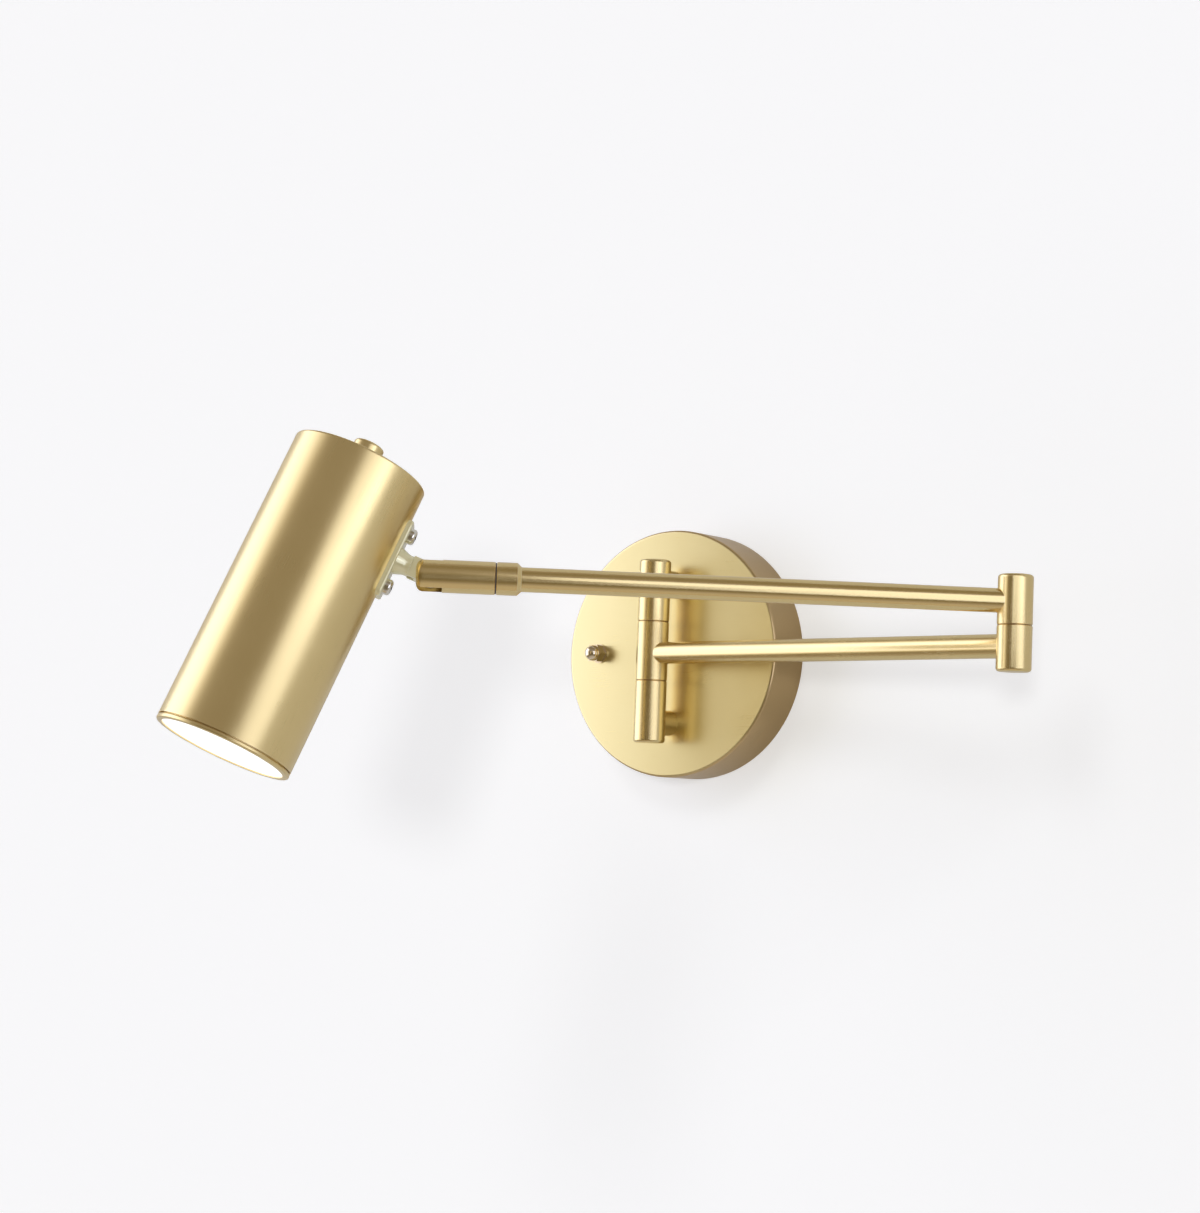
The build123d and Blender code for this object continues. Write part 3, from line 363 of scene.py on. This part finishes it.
bpy.ops.mesh.primitive_plane_add(size=1.0)
wall = bpy.context.object
wall.name = "wall"
WALL_WIDTH = 8.0
for vertex in wall.data.vertices:
    vertex.co = Vector((vertex.co.x * WALL_WIDTH, 0.0, vertex.co.y * WALL_WIDTH))
wall.data.update()
wall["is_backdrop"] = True

WALL_SEEN = 0.922
WALL_GLOW = 0.46
WALL_GLOW_IN_METAL = 0.08
WALL_PAINT = (0.655, 0.67, 0.68, 1.0)
paint = bpy.data.materials.new("wall_paint")
paint.use_nodes = True
tree = paint.node_tree
tree.nodes.clear()
path = tree.nodes.new("ShaderNodeLightPath")
camera_ray = Value(tree, path.outputs["Is Camera Ray"])
glossy_ray = Value(tree, path.outputs["Is Glossy Ray"])
clear_ray = Value(tree, path.outputs["Is Transmission Ray"])
seen = (camera_ray + clear_ray) * WALL_GLOW + glossy_ray * WALL_GLOW_IN_METAL
plain = tree.nodes.new("ShaderNodeBsdfDiffuse")
plain.inputs["Color"].default_value = WALL_PAINT
white = tree.nodes.new("ShaderNodeEmission")
white.inputs["Color"].default_value = (1.0, 1.0, 1.0, 1.0)
tree.links.new(seen.socket, white.inputs["Strength"])
both = tree.nodes.new("ShaderNodeAddShader")
tree.links.new(plain.outputs[0], both.inputs[0])
tree.links.new(white.outputs[0], both.inputs[1])
backface = Value(tree, tree.nodes.new("ShaderNodeNewGeometry").outputs["Backfacing"])
clear = tree.nodes.new("ShaderNodeBsdfTransparent")
sided = tree.nodes.new("ShaderNodeMixShader")
tree.links.new(backface.socket, sided.inputs[0])
tree.links.new(both.outputs[0], sided.inputs[1])
tree.links.new(clear.outputs[0], sided.inputs[2])
output = tree.nodes.new("ShaderNodeOutputMaterial")
tree.links.new(sided.outputs[0], output.inputs["Surface"])
wall.data.materials.append(paint)


# ---- Studio ----

DARK_TINT = (1.2, 1.0, 0.66)
ROOM_TINT = (1.1, 1.0, 0.93)
CARD_TINT = (0.92, 1.0, 1.3)
CARD_LIGHT = 1.75


def studio_world():
    """Soft studio: a large light on the left, dimmer and warmer in front, paler above and below."""
    world = bpy.data.worlds.new("studio")
    bpy.context.scene.world = world
    world.use_nodes = True
    tree = world.node_tree
    tree.nodes.clear()
    way = Value(tree, tree.nodes.new("ShaderNodeTexCoord").outputs["Generated"])
    parts = tree.nodes.new("ShaderNodeSeparateXYZ")
    tree.links.new(way.socket, parts.inputs[0])
    x, y, z = (Value(tree, parts.outputs[k]) for k in range(3))
    azimuth = x.math("ARCTAN2", -y) * degrees(1.0)
    height = z.math("ARCSINE") * degrees(1.0)

    def card(left, right, bottom, top):
        """1 inside a rectangle of directions; each side is its middle and its softness in degrees."""
        sides = azimuth.step(left[0] - left[1], left[0] + left[1])
        sides = sides * azimuth.step(right[0] - right[1], right[0] + right[1], 1.0, 0.0)
        ends = height.step(bottom[0] - bottom[1], bottom[0] + bottom[1])
        return sides * ends * height.step(top[0] - top[1], top[0] + top[1], 1.0, 0.0)

    room = height.step(-65.0, -25.0, 0.5, 0.15) + height.step(4.0, 24.0, 0.0, 0.16)
    room = room + height.step(40.0, 56.0, 0.0, -0.08) + height.step(68.0, 88.0, 0.0, 0.14)
    large = card(left=(-132.0, 12.0), right=(-36.0, 17.0), bottom=(-23.0, 9.0), top=(40.0, 8.0))
    light = room + large * CARD_LIGHT
    tint = room.step(0.18, 0.34).mixed(DARK_TINT, ROOM_TINT)
    tint = large.mixed(tint, CARD_TINT)
    path = tree.nodes.new("ShaderNodeLightPath")
    camera_ray = Value(tree, path.outputs["Is Camera Ray"])
    ground = tree.nodes.new("ShaderNodeBackground")
    tree.links.new(camera_ray.mixed(tint, (1.0, 1.0, 1.0)).socket, ground.inputs["Color"])
    light = light * (1.0 - camera_ray) + camera_ray * WALL_SEEN
    tree.links.new(light.socket, ground.inputs["Strength"])
    made = tree.nodes.new("ShaderNodeOutputWorld")
    tree.links.new(ground.outputs[0], made.inputs["Surface"])


studio_world()


def lamp(name, kind, place, travel, strength, sees, turn=0.0, **settings):
    """Lamp at a place whose light travels along a direction; it shows only in the named kinds of ray."""
    data = bpy.data.lights.new(name, kind)
    data.energy = strength
    for key, value in settings.items():
        setattr(data, key, value)
    made = bpy.data.objects.new(name, data)
    bpy.context.collection.objects.link(made)
    made.location = Vector(place)
    made.rotation_euler = (Vector(travel).to_track_quat("-Z", "Y") @ Quaternion((0, 0, 1), turn)).to_euler()
    made.visible_camera = False
    made.visible_glossy = "glossy" in sees
    made.visible_diffuse = "diffuse" in sees
    return made


def from_side(azimuth, height):
    """Direction of travel of light that comes from an azimuth and a height in degrees."""
    turn, rise = radians(azimuth), radians(height)
    return Vector((-sin(turn) * cos(rise), cos(turn) * cos(rise), -sin(rise)))


def strip(name, azimuth, height, distance, width, rise, turn, light):
    """Rectangular light that only metal shows, seen from the wall's origin at an azimuth and a height."""
    travel = from_side(azimuth, height)
    made = lamp(
        name, "AREA", travel * -distance, travel, light * pi * width * rise, "glossy",
        turn=radians(turn), shape="RECTANGLE", size=width, size_y=rise, color=CARD_TINT,
    )
    made.data.cycles.max_bounces = 0


strip("side_strip", azimuth=80.0, height=-4.5, distance=2.94, width=4.5, rise=1.33, turn=10.0, light=1.3)
strip("arm_strip", azimuth=53.0, height=13.0, distance=0.5, width=0.4, rise=0.178, turn=2.4, light=1.15)
lamp("side_key", "SUN", (0, -1, 0.2), from_side(25.8, 5.0), 0.55, "diffuse", angle=radians(8.0))
lamp("high_key", "SUN", (0, -1, 1), from_side(2.0, 35.0), 0.36, "diffuse", angle=radians(18.0))


# ---- Camera ----

CAMERA_DISTANCE = 1.36668
CAMERA_TARGET = Vector((-0.06104, 0.0, 0.02586))
CAMERA_LENS = 80.13
azimuth, elevation, roll = radians(35.89), radians(-4.47), radians(2.27)
back = Vector((sin(azimuth) * cos(elevation), -cos(azimuth) * cos(elevation), sin(elevation)))
right = (-back).cross(up).normalized()
top = right.cross(-back)
rolled_right = right * cos(roll) + top * sin(roll)
rolled_top = top * cos(roll) - right * sin(roll)
eye = Matrix((rolled_right, rolled_top, back)).transposed().to_4x4()
eye.translation = CAMERA_TARGET + back * CAMERA_DISTANCE
view = bpy.data.cameras.new("camera")
view.lens = CAMERA_LENS
view.sensor_width = 36.0
view.clip_end = 50.0
camera = bpy.data.objects.new("camera", view)
bpy.context.collection.objects.link(camera)
camera.matrix_world = eye
bpy.context.scene.camera = camera
bpy.context.scene.view_settings.view_transform = "Standard"

low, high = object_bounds()
